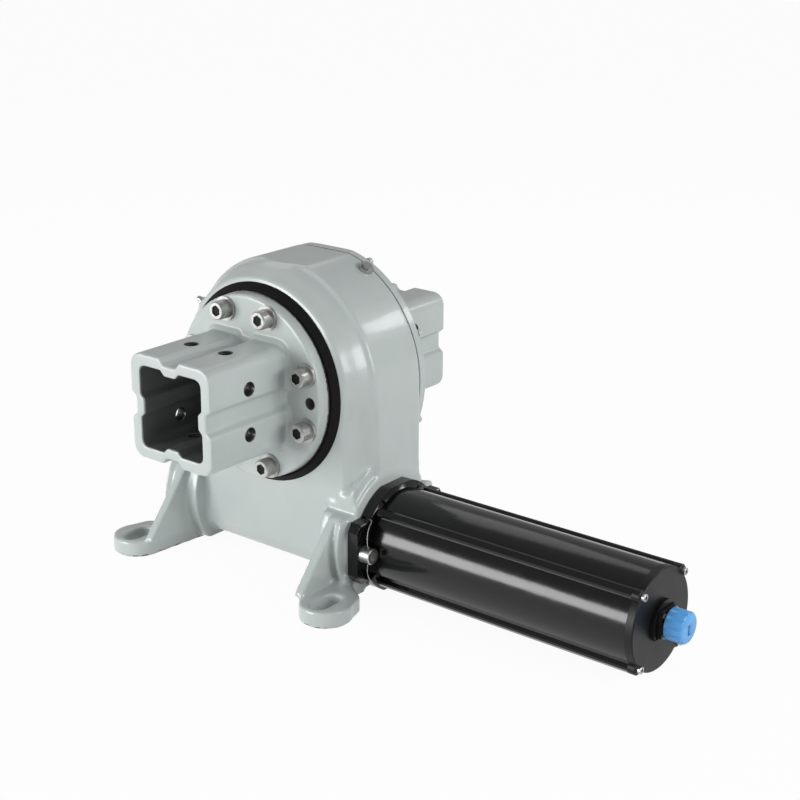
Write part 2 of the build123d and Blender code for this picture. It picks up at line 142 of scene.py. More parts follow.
def math(tree, op, a, b):
    n = add(tree, "ShaderNodeMath", operation=op)
    for i, v in enumerate((a, b)):
        if isinstance(v, (int, float)):
            n.inputs[i].default_value = v
        else:
            link(tree, v, n.inputs[i])
    return n.outputs[0]


def mix(tree, factor, a, b):
    n = add(tree, "ShaderNodeMix", data_type="RGBA")
    for sock, v in ((n.inputs[0], factor), (n.inputs[6], a), (n.inputs[7], b)):
        if isinstance(v, (int, float)):
            sock.default_value = v
        elif isinstance(v, tuple):
            sock.default_value = v + (1.0,) if len(v) == 3 else v
        else:
            link(tree, v, sock)
    return n.outputs[2]


# ---------------------------------------------------------------- shared surface effects
LUMP_HEIGHT = 0.0012
RIPPLE_HEIGHT = 0.0003
GRAIN_HEIGHT = 0.0001


def group_paint_skin():
    """Cloudy colour, uneven gloss and the ripple of thick sprayed paint."""
    g, i, o = new_group("paint skin",
                        [("Colour", "Color", (0.5, 0.5, 0.5, 1)), ("Cloud", "Float", 0.1), ("Gloss", "Float", 0.3),
                         ("Gloss Change", "Float", 0.1), ("Ripple Scale", "Float", 300.0),
                         ("Ripple Depth", "Float", 0.2), ("Lump Depth", "Float", 0.1)],
                        [("Colour", "Color"), ("Roughness", "Float"), ("Normal", "Vector")])
    at = add(g, "ShaderNodeTexCoord").outputs["Object"]
    broad = noise(g, at, scale=14.0, detail=4.0)
    shade = math(g, "MULTIPLY", math(g, "SUBTRACT", broad.outputs["Fac"], 0.5), i.outputs["Cloud"])
    hsv = add(g, "ShaderNodeHueSaturation")
    link(g, i.outputs["Colour"], hsv.inputs["Color"])
    link(g, math(g, "ADD", shade, 1.0), hsv.inputs["Value"])
    link(g, hsv.outputs["Color"], o.inputs["Colour"])
    patch = noise(g, at, scale=60.0, detail=3.0)
    uneven = math(g, "MULTIPLY", math(g, "SUBTRACT", patch.outputs["Fac"], 0.5), i.outputs["Gloss Change"])
    rough = math(g, "ADD", i.outputs["Gloss"], uneven)
    link(g, rough, o.inputs["Roughness"])
    peel = noise(g, at, scale=i.outputs["Ripple Scale"], detail=2.0, rough=0.4)
    lump = noise(g, at, scale=55.0, detail=2.0, rough=0.5)
    b1 = add(g, "ShaderNodeBump")
    b1.inputs["Distance"].default_value = LUMP_HEIGHT
    link(g, lump.outputs["Fac"], b1.inputs["Height"])
    link(g, i.outputs["Lump Depth"], b1.inputs["Strength"])
    b2 = add(g, "ShaderNodeBump")
    b2.inputs["Distance"].default_value = RIPPLE_HEIGHT
    link(g, peel.outputs["Fac"], b2.inputs["Height"])
    link(g, i.outputs["Ripple Depth"], b2.inputs["Strength"])
    link(g, b1.outputs["Normal"], b2.inputs["Normal"])
    link(g, b2.outputs["Normal"], o.inputs["Normal"])
    return g


def group_low_chips():
    """A mask of chips near the ground line, broken up by noise."""
    g, i, o = new_group("low chips", [("Height", "Float", 0.004), ("Amount", "Float", 0.5)], [("Mask", "Float")])
    at = add(g, "ShaderNodeTexCoord").outputs["Object"]
    z = add(g, "ShaderNodeSeparateXYZ")
    link(g, at, z.inputs[0])
    low = math(g, "SUBTRACT", 1.0, math(g, "DIVIDE", z.outputs["Z"], i.outputs["Height"]))
    low_c = add(g, "ShaderNodeClamp")
    link(g, low, low_c.inputs["Value"])
    spots = noise(g, at, scale=130.0, detail=5.0, rough=0.65)
    edge = math(g, "ADD", spots.outputs["Fac"], math(g, "MULTIPLY", low_c.outputs[0], i.outputs["Amount"]))
    near = math(g, "GREATER_THAN", low_c.outputs[0], 0.01)
    link(g, math(g, "MULTIPLY", ramp(g, edge, 0.72, 0.78), near), o.inputs["Mask"])
    return g


def group_brushed():
    """Fine turned lines and smudges on bare metal."""
    g, i, o = new_group("turned metal",
                        [("Colour", "Color", (0.6, 0.6, 0.6, 1)), ("Smudge", "Float", 0.2), ("Gloss", "Float", 0.25),
                         ("Line Depth", "Float", 0.1)],
                        [("Colour", "Color"), ("Roughness", "Float"), ("Normal", "Vector")])
    at = add(g, "ShaderNodeTexCoord").outputs["Object"]
    spot = noise(g, at, scale=160.0, detail=4.0, rough=0.6)
    dark = math(g, "SUBTRACT", 1.0, math(g, "MULTIPLY", ramp(g, spot.outputs["Fac"], 0.45, 0.8), i.outputs["Smudge"]))
    hsv = add(g, "ShaderNodeHueSaturation")
    link(g, i.outputs["Colour"], hsv.inputs["Color"])
    link(g, dark, hsv.inputs["Value"])
    link(g, hsv.outputs["Color"], o.inputs["Colour"])
    link(g, math(g, "ADD", i.outputs["Gloss"], math(g, "MULTIPLY", spot.outputs["Fac"], 0.18)), o.inputs["Roughness"])
    grain = noise(g, at, scale=1800.0, detail=2.0)
    b = add(g, "ShaderNodeBump")
    b.inputs["Distance"].default_value = GRAIN_HEIGHT
    link(g, grain.outputs["Fac"], b.inputs["Height"])
    link(g, i.outputs["Line Depth"], b.inputs["Strength"])
    link(g, b.outputs["Normal"], o.inputs["Normal"])
    return g


def group_bare_and_shaded_bores():
    """A mask of the places on a coupling coloured dark, partly as bare metal and partly as painted shade: the square's
    inside, the clamp holes and the plain flange holes.
    """
    g, i, o = new_group("bare and shaded bores",
                        [("Axis Height", "Float", 0.2), ("Inside Half", "Float", 0.0409), ("Mouth", "Float", 0.174)],
                        [("Mask", "Float")])
    at = add(g, "ShaderNodeTexCoord").outputs["Object"]
    xyz = add(g, "ShaderNodeSeparateXYZ")
    link(g, at, xyz.inputs[0])

    def size(v):
        return math(g, "ABSOLUTE", v, 0.0)

    x = size(xyz.outputs["X"])
    y = size(xyz.outputs["Y"])
    z = size(math(g, "SUBTRACT", xyz.outputs["Z"], i.outputs["Axis Height"]))

    def under(v, limit):
        return math(g, "LESS_THAN", v, limit)

    def near(u, v, radius):
        far = math(g, "ADD", math(g, "MULTIPLY", u, u), math(g, "MULTIPLY", v, v))
        return under(far, radius * radius)

    inside = math(g, "MULTIPLY", under(y, i.outputs["Inside Half"]), under(z, i.outputs["Inside Half"]))
    inside = math(g, "MULTIPLY", inside, under(x, i.outputs["Mouth"]))
    along = math(g, "SUBTRACT", x, CLAMP_X)
    top = near(along, math(g, "SUBTRACT", y, CLAMP_GAP), CLAMP_R + 0.35 * MM)
    side = near(along, math(g, "SUBTRACT", z, CLAMP_GAP), CLAMP_R + 0.35 * MM)
    plain_hole = near(math(g, "SUBTRACT", y, BOLT_CIRCLE_R), z, PLAIN_MASK_R)
    mask = math(g, "MAXIMUM", math(g, "MAXIMUM", inside, top), math(g, "MAXIMUM", side, plain_hole))
    link(g, mask, o.inputs["Mask"])
    return g


PAINT_SKIN = group_paint_skin()
LOW_CHIPS = group_low_chips()
BARE_AND_SHADED_BORES = group_bare_and_shaded_bores()
TURNED = group_brushed()


def base_material(name, **plain):
    m = bpy.data.materials.new(name)
    m.use_nodes = True
    t = m.node_tree
    p = t.nodes["Principled BSDF"]
    for key, value in plain.items():
        p.inputs[key.replace("_", " ")].default_value = value
    return m, t, p


def painted(name, colour, cloud, gloss, gloss_change, ripple_scale, ripple_depth, lump,
            chips=None, bores=None, **plain):
    """A paint, rubber or moulding. chips is (colour, height, amount) near the ground; bores is the colour of the bores,
    bare metal darkened further as painted shade.
    """
    m, t, p = base_material(name, **plain)
    s = add(t, "ShaderNodeGroup", node_tree=PAINT_SKIN)
    for key, value in (("Colour", colour + (1.0,)), ("Cloud", cloud), ("Gloss", gloss), ("Gloss Change", gloss_change),
                       ("Ripple Scale", ripple_scale), ("Ripple Depth", ripple_depth), ("Lump Depth", lump)):
        s.inputs[key].default_value = value
    skin = s.outputs["Colour"]
    if chips:
        c = add(t, "ShaderNodeGroup", node_tree=LOW_CHIPS)
        c.inputs["Height"].default_value, c.inputs["Amount"].default_value = chips[1:]
        skin = mix(t, c.outputs["Mask"], skin, chips[0])
    # the bores take a darker colour: bare metal plus painted shade inside the holes and the square socket
    if bores:
        b = add(t, "ShaderNodeGroup", node_tree=BARE_AND_SHADED_BORES)
        b.inputs["Axis Height"].default_value = AXIS_Z
        skin = mix(t, b.outputs["Mask"], skin, bores)
    link(t, skin, p.inputs["Base Color"])
    link(t, s.outputs["Roughness"], p.inputs["Roughness"])
    link(t, s.outputs["Normal"], p.inputs["Normal"])
    return m


def bare_metal(name, colour, smudge, gloss, depth, **plain):
    """A bare machined metal."""
    m, t, p = base_material(name, Metallic=1.0, **plain)
    s = add(t, "ShaderNodeGroup", node_tree=TURNED)
    for key, value in (("Colour", colour + (1.0,)), ("Smudge", smudge), ("Gloss", gloss), ("Line Depth", depth)):
        s.inputs[key].default_value = value
    link(t, s.outputs["Colour"], p.inputs["Base Color"])
    link(t, s.outputs["Roughness"], p.inputs["Roughness"])
    link(t, s.outputs["Normal"], p.inputs["Normal"])
    return m


GREY = (0.45, 0.495, 0.485)
LOOKS = {
    "grey_paint": painted("grey casting paint", GREY, cloud=0.16, gloss=0.33, gloss_change=0.12,
                          ripple_scale=420.0, ripple_depth=0.35, lump=0.4,
                          chips=((0.05, 0.035, 0.025), 0.004, 0.36), Coat_Weight=0.35, Coat_Roughness=0.1),
    "black_paint": painted("black motor paint", (0.003, 0.003, 0.003), cloud=0.3, gloss=0.16, gloss_change=0.1,
                           ripple_scale=160.0, ripple_depth=0.12, lump=0.06,
                           Specular_IOR_Level=0.42),
    "black_rubber": painted("seal rubber", (0.006, 0.006, 0.0065), cloud=0.2, gloss=0.6, gloss_change=0.1,
                            ripple_scale=500.0, ripple_depth=0.12, lump=0.0,
                            Specular_IOR_Level=0.12),
    "gasket": painted("gasket fibre", (0.05, 0.045, 0.04), cloud=0.3, gloss=0.75, gloss_change=0.1,
                      ripple_scale=800.0, ripple_depth=0.3, lump=0.0),
    "black_plastic": painted("connector moulding", (0.008, 0.008, 0.009), cloud=0.1, gloss=0.3, gloss_change=0.1,
                             ripple_scale=500.0, ripple_depth=0.1, lump=0.0),
    "blue_plastic": painted("blue cap moulding", (0.09, 0.34, 0.72), cloud=0.12, gloss=0.34, gloss_change=0.1,
                            ripple_scale=500.0, ripple_depth=0.1, lump=0.0),
    "stainless": bare_metal("stainless screws", (0.5, 0.5, 0.485), smudge=0.35, gloss=0.26, depth=0.15),
    "machined_steel": bare_metal("ground steel", (0.5, 0.5, 0.5), smudge=0.3, gloss=0.25, depth=0.2),
    "wheel_iron": bare_metal("oiled iron", (0.2, 0.19, 0.18), smudge=0.5, gloss=0.3, depth=0.3),
    "bronze": bare_metal("turned bronze", (0.6, 0.4, 0.18), smudge=0.3, gloss=0.25, depth=0.2),
    "brass": bare_metal("contact plating", (0.8, 0.6, 0.25), smudge=0.1, gloss=0.2, depth=0.1),
}
# the coupling paint has dark bores, partly bare metal and partly painted shade
COUPLING_LOOK = painted("grey coupling paint", GREY, cloud=0.14, gloss=0.36, gloss_change=0.12,
                        ripple_scale=420.0, ripple_depth=0.3, lump=0.3,
                        bores=(0.13, 0.14, 0.135), Coat_Weight=0.2, Coat_Roughness=0.15)
# near-black hexagon plugs in the screw sockets: painted shade where light does not reach
SOCKET_SHADE_LOOK = painted("painted socket shade", (0.006, 0.006, 0.006), cloud=0.1, gloss=0.6, gloss_change=0.1,
                      ripple_scale=500.0, ripple_depth=0.1, lump=0.0,
                      Specular_IOR_Level=0.2)
# near-black threads in the clamp holes: dark steel deepened as painted shade in the holes
THREAD_SHADE_LOOK = painted("dark thread with painted shade", (0.018, 0.02, 0.019), cloud=0.2, gloss=0.6, gloss_change=0.1,
                      ripple_scale=500.0, ripple_depth=0.1, lump=0.0,
                      Specular_IOR_Level=0.25)
CAP_LOOK = painted("satin black end cap", (0.004, 0.004, 0.004), cloud=0.3, gloss=0.42, gloss_change=0.1,
                   ripple_scale=160.0, ripple_depth=0.15, lump=0.06,
                   Specular_IOR_Level=0.3)
for part in frame["record"]["subparts"]:
    for place in frame["nodes"][part["node"]].material_slots:
        place.material = LOOKS[part["material_slot"]]

# the cover's gasket and screws are painted over with the housing, and the motor's end cap is duller than its tube
OTHER_LOOKS = {"cover_gasket": LOOKS["grey_paint"], "rear_cover_screws": LOOKS["grey_paint"], "motor_end_cap": CAP_LOOK}
for node, look in OTHER_LOOKS.items():
    for place in frame["nodes"][node].material_slots:
        place.material = look


# ---------------------------------------------------------------- castings with rounded edges
def round_bar(radius, start, end, sides=96):
    """A closed cylinder between two points."""
    start, end = Vector(start), Vector(end)
    ahead = (end - start).normalized()
    u = ahead.orthogonal().normalized()
    v = ahead.cross(u)
    ring = [u * cos(2 * pi * k / sides) * radius + v * sin(2 * pi * k / sides) * radius for k in range(sides)]
    verts = [start + r for r in ring] + [end + r for r in ring]
    faces = [tuple(range(sides - 1, -1, -1)), tuple(range(sides, 2 * sides))]
    faces += [(k, (k + 1) % sides, sides + (k + 1) % sides, sides + k) for k in range(sides)]
    return verts, faces


def block(low, high):
    """A closed box between two corners."""
    verts = [Vector((x, y, z)) for x in (low[0], high[0]) for y in (low[1], high[1]) for z in (low[2], high[2])]
    faces = [(0, 1, 3, 2), (4, 6, 7, 5), (0, 4, 5, 1), (2, 3, 7, 6), (0, 2, 6, 4), (1, 5, 7, 3)]
    return verts, faces


def joined(name, shapes, start_mesh=None):
    """One object from several closed shapes, after a merged copy of start_mesh."""
    bm = bmesh.new()
    if start_mesh is not None:
        bm.from_mesh(start_mesh)
        bmesh.ops.remove_doubles(bm, verts=bm.verts, dist=0.002 * MM)
    for verts, faces in shapes:
        made = [bm.verts.new(v) for v in verts]
        for f in faces:
            bm.faces.new([made[k] for k in f])
    mesh = bpy.data.meshes.new(name)
    bm.to_mesh(mesh)
    bm.free()
    o = bpy.data.objects.new(name, mesh)
    bpy.context.scene.collection.objects.link(o)
    return o


def joined_with(o, shapes):
    """o with more closed shapes in its mesh."""
    more = joined(o.name, shapes, o.data)
    name = o.name
    bpy.data.objects.remove(o)
    more.name = name
    return more


def settle(o):
    """Turns the live modifiers of o into its mesh."""
    ready = o.evaluated_get(bpy.context.evaluated_depsgraph_get())
    made = bpy.data.meshes.new_from_object(ready)
    o.modifiers.clear()
    o.data = made


def carve(o, shapes):
    """Cuts closed shapes, clear of each other, out of o."""
    tool = joined("cutter", shapes)
    cut = o.modifiers.new("cut", "BOOLEAN")
    cut.operation = "DIFFERENCE"
    cut.solver = "EXACT"
    cut.object = tool
    settle(o)
    bpy.data.objects.remove(tool)


def cast_copy(node, slot, body, plugs, cuts, voxel, rounds, keep, trims=()):
    """A copy of a CAD casting with its edges and corners rounded, and its machined holes cut again afterwards.
    trims are cut away first. plugs then fill the machined holes, so their rims stay sharp.
    keep is the share of faces left after thinning."""
    o = joined(node + "_cast", [], frame["nodes"][node].data)
    if trims:
        carve(o, trims)
    if plugs:
        o = joined_with(o, plugs)
    shell = o.modifiers.new("shell", "REMESH")
    shell.mode = "VOXEL"
    shell.voxel_size = voxel
    soft = o.modifiers.new("soften", "SMOOTH")
    soft.factor = 0.5
    soft.iterations = rounds
    thin = o.modifiers.new("thin", "DECIMATE")
    thin.ratio = keep
    settle(o)
    for shapes in cuts:
        carve(o, shapes)
    finish_piece(o, slot, body, node)


def finish_piece(o, slot, body, *nodes):
    """Gives o its look and lets it stand for the CAD nodes."""
    o.data.materials.clear()
    o.data.materials.append(COUPLING_LOOK if body == "output" else LOOKS[slot])
    for f in o.data.polygons:
        f.material_index = 0
    o.data.shade_smooth()
    o.data.set_sharp_from_angle(angle=radians(38))
    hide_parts(*nodes)
    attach(o, body)


def along_x(radius, x0, x1, y=0.0, z=None):
    z = AXIS_Z if z is None else z
    return round_bar(radius, (x0, y, z), (x1, y, z))


def along_y(radius, y0, y1, x=0.0, z=None):
    z = MOTOR_Z if z is None else z
    return round_bar(radius, (x, y0, z), (x, y1, z))


def collar_trim(x_low, x_high, y_low, y_high):
    """A block over the part of the motor collar that reaches past the body."""
    return block((x_low * MM, y_low * MM, COLLAR_TOP), (x_high * MM, y_high * MM, MOTOR_Z + 90 * MM))


cast_copy("gear_housing", "grey_paint", "housing",
          plugs=[along_x(SEAL_R + PLUG_OVER, LIP_X, -15 * MM),
                 along_x(CHAMBER_R + PLUG_OVER, -25 * MM, REAR_X),
                 along_y(TUNNEL_R + PLUG_OVER, -END_Y, END_Y)],
          cuts=[[along_x(SEAL_R, LIP_X - BORE_PAST, -41 * MM)],
                [along_x(BUSH_R, -41.5 * MM, -19.5 * MM)],
                [along_x(CHAMBER_R, -20 * MM, REAR_X + BORE_PAST)],
                [along_y(TUNNEL_R, -END_Y - BORE_PAST, END_Y + BORE_PAST)]],
          voxel=1.4 * MM, rounds=22, keep=0.2,
          trims=[collar_trim(50, 100, -140, -80), collar_trim(50, 100, 80, 140), collar_trim(-100, -53, -140, -80)])


def bolt_spots():
    """Where the flange screws sit, as (y, z)."""
    for quarter in range(4):
        for spread in (-BOLT_SPREAD, BOLT_SPREAD):
            b = quarter * pi / 2 + spread
            yield BOLT_CIRCLE_R * cos(b), AXIS_Z + BOLT_CIRCLE_R * sin(b)


for side, name in ((-1, "front_coupling"), (1, "rear_coupling")):
    face, back = side * FLANGE_FACE, side * FLANGE_BACK
    past_face, past_back = face + side * CUT_PAST, back - side * CUT_PAST
    plain_spots = (-BOLT_CIRCLE_R, BOLT_CIRCLE_R)
    holes = [along_x(SCREW_HOLE_R, past_back, past_face, y, z) for y, z in bolt_spots()]
    holes += [along_x(PLAIN_HOLE_R, past_back, past_face, y, AXIS_Z) for y in plain_spots]
    fills = [along_x(SCREW_PLUG_R, back, face, y, z) for y, z in bolt_spots()]
    fills += [along_x(PLAIN_PLUG_R, back, face, y, AXIS_Z) for y in plain_spots]
    for quarter in range(4):
        a = quarter * pi / 2
        out, across = Vector((0, cos(a), sin(a))), Vector((0, -sin(a), cos(a)))
        for gap in (-CLAMP_GAP, CLAMP_GAP):
            foot = Vector((side * CLAMP_X, 0, AXIS_Z)) + across * gap
            inner, outer = SOCKET_HALF - WALL, SOCKET_HALF
            fills.append(round_bar(CLAMP_R + 0.5 * MM, foot + out * inner, foot + out * outer, 48))
            holes.append(round_bar(CLAMP_R, foot + out * (inner - CUT_PAST), foot + out * (outer + CUT_PAST), 48))
    cast_copy(name, "grey_paint", "output", plugs=fills, cuts=[holes], voxel=1.35 * MM, rounds=3, keep=0.4)


def adapter_outline(node):
    """The adapter and its gasket are round, with one lobe on each side for a bolt."""
    o = joined(node + "_round", [], frame["nodes"][node].data)
    tool = joined("outline", [along_y(ADAPTER_R, -0.2, 0.0),
                              block((-LOBE_X, -0.2, MOTOR_Z - LOBE_HALF), (LOBE_X, 0.0, MOTOR_Z + LOBE_HALF))])
    soft = tool.modifiers.new("shell", "REMESH")
    soft.mode = "VOXEL"
    soft.voxel_size = 1.5 * MM
    blend = tool.modifiers.new("soften", "SMOOTH")
    blend.factor, blend.iterations = 0.5, 14
    settle(tool)
    cut = o.modifiers.new("outline", "BOOLEAN")
    cut.operation, cut.solver, cut.object = "INTERSECT", "EXACT", tool
    settle(o)
    bpy.data.objects.remove(tool)
    return o


def slotted_cap():
    """The connector's cap with a coin slot across its end."""
    o = joined("connector_cap_slotted", [], frame["nodes"]["connector_cap"].data)
    half_width, depth = 1.4 * MM, 1.6 * MM
    carve(o, [block((-half_width, CAP_END_Y - 1 * MM, MOTOR_Z - 7 * MM),
                    (half_width, CAP_END_Y + depth, MOTOR_Z + 3 * MM))])
    return o


finish_piece(slotted_cap(), "blue_plastic", "connector_cap", "connector_cap")
finish_piece(adapter_outline("motor_adapter"), "black_paint", "housing", "motor_adapter")
finish_piece(adapter_outline("motor_gasket"), "gasket", "housing", "motor_gasket")

# ---------------------------------------------------------------- geometry node trees for what repeats
def new_geometry_tree(name, ins):
    """A geometry node group with named inputs, and the identifier of each."""
    g = bpy.data.node_groups.new(name, "GeometryNodeTree")
    g.interface.new_socket(name="Geometry", in_out="INPUT", socket_type="NodeSocketGeometry")
    ids = {}
    for label, kind, default in ins:
        s = g.interface.new_socket(name=label, in_out="INPUT", socket_type="NodeSocket" + kind)
        if default is not None:
            s.default_value = default
        ids[label] = s.identifier
    g.interface.new_socket(name="Geometry", in_out="OUTPUT", socket_type="NodeSocketGeometry")
    return g, add(g, "NodeGroupInput"), add(g, "NodeGroupOutput"), ids


def place_on_points(g, i, o, shape):
    """Puts shape on each input point with its Z along the point's 'out' attribute, then makes it real."""
    out = add(g, "GeometryNodeInputNamedAttribute", data_type="FLOAT_VECTOR")
    out.inputs["Name"].default_value = "out"
    turn = add(g, "FunctionNodeAlignRotationToVector", axis="Z")
    link(g, out.outputs["Attribute"], turn.inputs["Vector"])
    spread = add(g, "GeometryNodeInstanceOnPoints")
    link(g, i.outputs["Geometry"], spread.inputs["Points"])
    link(g, shape, spread.inputs["Instance"])
    link(g, turn.outputs["Rotation"], spread.inputs["Rotation"])
    real = add(g, "GeometryNodeRealizeInstances")
    link(g, spread.outputs["Instances"], real.inputs["Geometry"])
    paint = add(g, "GeometryNodeSetMaterial")
    link(g, real.outputs["Geometry"], paint.inputs["Geometry"])
    link(g, i.outputs["Material"], paint.inputs["Material"])
    link(g, paint.outputs["Geometry"], o.inputs["Geometry"])


def tree_tapped_thread():
    """A ridge winding down a tapped hole, one per point."""
    g, i, o, ids = new_geometry_tree("tapped thread",
                                     [("Hole Radius", "Float", 0.007), ("Depth", "Float", 0.011),
                                      ("Turns", "Float", 5.0), ("Ridge", "Float", 0.0005),
                                      ("Material", "Material", None)])
    wind = add(g, "GeometryNodeCurveSpiral")
    wind.inputs["Resolution"].default_value = 20
    link(g, i.outputs["Turns"], wind.inputs["Rotations"])
    for end in ("Start Radius", "End Radius"):
        link(g, i.outputs["Hole Radius"], wind.inputs[end])
    link(g, i.outputs["Depth"], wind.inputs["Height"])
    rod = add(g, "GeometryNodeCurvePrimitiveCircle")
    rod.inputs["Resolution"].default_value = 5
    link(g, i.outputs["Ridge"], rod.inputs["Radius"])
    tube = add(g, "GeometryNodeCurveToMesh")
    tube.inputs["Fill Caps"].default_value = True
    link(g, wind.outputs["Curve"], tube.inputs["Curve"])
    link(g, rod.outputs["Curve"], tube.inputs["Profile Curve"])
    place_on_points(g, i, o, tube.outputs["Mesh"])
    return g, ids


def tree_knurl():
    """Fine upright ridges around a screw head, one ring per point."""
    g, i, o, ids = new_geometry_tree("head knurl",
                                     [("Head Radius", "Float", 0.009), ("Height", "Float", 0.008),
                                      ("Ridges", "Int", 36), ("Ridge Width", "Float", 0.0006),
                                      ("Material", "Material", None)])
    ring = add(g, "GeometryNodeMeshCircle")
    link(g, i.outputs["Ridges"], ring.inputs["Vertices"])
    link(g, i.outputs["Head Radius"], ring.inputs["Radius"])
    bar_size = add(g, "ShaderNodeCombineXYZ")
    link(g, i.outputs["Ridge Width"], bar_size.inputs["X"])
    link(g, i.outputs["Ridge Width"], bar_size.inputs["Y"])
    link(g, i.outputs["Height"], bar_size.inputs["Z"])
    bar = add(g, "GeometryNodeMeshCube")
    link(g, bar_size.outputs[0], bar.inputs["Size"])
    spot = add(g, "GeometryNodeInputPosition")
    face = add(g, "FunctionNodeAlignRotationToVector", axis="X", pivot_axis="Z")
    link(g, spot.outputs[0], face.inputs["Vector"])
    put = add(g, "GeometryNodeInstanceOnPoints")
    link(g, ring.outputs["Mesh"], put.inputs["Points"])
    link(g, bar.outputs["Mesh"], put.inputs["Instance"])
    link(g, face.outputs["Rotation"], put.inputs["Rotation"])
    one = add(g, "GeometryNodeRealizeInstances")
    link(g, put.outputs["Instances"], one.inputs["Geometry"])
    place_on_points(g, i, o, one.outputs["Geometry"])
    return g, ids


def tree_socket_shade():
    """A dark hexagon plug at the floor of a screw socket, standing as painted shade in the socket, one per point."""
    g, i, o, ids = new_geometry_tree("hex socket shade",
                                     [("Radius", "Float", 0.005), ("Thickness", "Float", 0.002),
                                      ("Material", "Material", None)])
    plug = add(g, "GeometryNodeMeshCylinder")
    plug.inputs["Vertices"].default_value = 6
    link(g, i.outputs["Radius"], plug.inputs["Radius"])
    link(g, i.outputs["Thickness"], plug.inputs["Depth"])
    place_on_points(g, i, o, plug.outputs["Mesh"])
    return g, ids


def run_tree(name, tree, ids, points, values, body, slot, look=None):
    """Runs a tree on (place, outward direction) points and leaves a plain mesh riding on body."""
    mesh = bpy.data.meshes.new(name + "_points")
    mesh.from_pydata([p for p, _ in points], [], [])
    out = mesh.attributes.new("out", "FLOAT_VECTOR", "POINT")
    for k, (_, d) in enumerate(points):
        out.data[k].vector = d
    holder = bpy.data.objects.new(name + "_points", mesh)
    bpy.context.scene.collection.objects.link(holder)
    mod = holder.modifiers.new("build", "NODES")
    mod.node_group = tree
    for label, value in values.items():
        mod[ids[label]] = value
    mod[ids["Material"]] = look or LOOKS[slot]
    ready = holder.evaluated_get(bpy.context.evaluated_depsgraph_get())
    made = bpy.data.meshes.new_from_object(ready)
    made.materials.clear()
    made.materials.append(look or LOOKS[slot])
    piece = bpy.data.objects.new(name, made)
    bpy.context.scene.collection.objects.link(piece)
    bpy.data.objects.remove(holder)
    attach(piece, body)


thread_tree, thread_ids = tree_tapped_thread()
knurl_tree, knurl_ids = tree_knurl()
socket_shade_tree, socket_shade_ids = tree_socket_shade()
socket_shade_points = []
thread_points = []
knurl_points = []
for side in (-1, 1):
    outward = Vector((side, 0, 0))
    face_x = SCREW_FACE_X if side < 0 else -SCREW_FACE_X
    for quarter in range(4):
        a = quarter * pi / 2
        out, across = Vector((0, cos(a), sin(a))), Vector((0, -sin(a), cos(a)))
        for gap in (-CLAMP_GAP, CLAMP_GAP):
            mouth = Vector((side * CLAMP_X, 0, AXIS_Z)) + out * (SOCKET_HALF - WALL + 1.2 * MM) + across * gap
            thread_points.append((mouth, out))
    for y, z in bolt_spots():
        socket_shade_points.append((Vector((face_x - side * 3.6 * MM, y, z)), outward))
        knurl_points.append((Vector((face_x - side * 6.2 * MM, y, z)), outward))
# the threads take the near-black look, painted shade inside the clamp holes
run_tree("clamp_hole_threads", thread_tree, thread_ids, thread_points,
         {"Hole Radius": CLAMP_R - 0.1 * MM, "Depth": WALL - 2.2 * MM, "Turns": 5.0, "Ridge": 0.55 * MM},
         "output", "wheel_iron", THREAD_SHADE_LOOK)
# dark plugs set in the flange screws' hex sockets as painted shade
run_tree("screw_socket_shades", socket_shade_tree, socket_shade_ids, socket_shade_points,
         {"Radius": 5.7 * MM, "Thickness": 4.4 * MM}, "output", "stainless", SOCKET_SHADE_LOOK)
run_tree("screw_head_knurls", knurl_tree, knurl_ids, knurl_points,
         {"Head Radius": 9.0 * MM, "Height": 8.6 * MM, "Ridges": 40, "Ridge Width": 0.55 * MM}, "output", "stainless")


# ---------------------------------------------------------------- lock wire on the adapter bolts
def tube_mesh(name, path, radius, sides=8):
    """A closed round tube along a list of points."""
    verts, faces = [], []
    up = Vector((0, 1, 0))
    for k, p in enumerate(path):
        ahead = (path[min(k + 1, len(path) - 1)] - path[max(k - 1, 0)]).normalized()
        u = ahead.cross(up)
        if u.length < 1e-6:
            u = ahead.cross(Vector((1, 0, 0)))
        u.normalize()
        v = ahead.cross(u)
        for s in range(sides):
            t = 2 * pi * s / sides
            verts.append(p + (u * cos(t) + v * sin(t)) * radius)
    for k in range(len(path) - 1):
        for s in range(sides):
            n = (s + 1) % sides
            faces.append((k * sides + s, k * sides + n, (k + 1) * sides + n, (k + 1) * sides + s))
    faces.append(tuple(range(sides - 1, -1, -1)))
    faces.append(tuple((len(path) - 1) * sides + s for s in range(sides)))
    mesh = bpy.data.meshes.new(name)
    mesh.from_pydata(verts, [], faces)
    mesh.validate()
    for f in mesh.polygons:
        f.use_smooth = True
    return mesh


def curve_points(knots, per_span=14):
    """Smooth points through the knots."""
    full = [knots[0]] + knots + [knots[-1]]
    out = []
    for k in range(1, len(full) - 2):
        p0, p1, p2, p3 = full[k - 1:k + 3]
        for j in range(per_span):
            t = j / per_span
            bend = (2 * p0 - 5 * p1 + 4 * p2 - p3) * t * t
            twist = (3 * p1 - p0 - 3 * p2 + p3) * t ** 3
            out.append(0.5 * ((2 * p1) + (p2 - p0) * t + bend + twist))
    out.append(knots[-1])
    return out


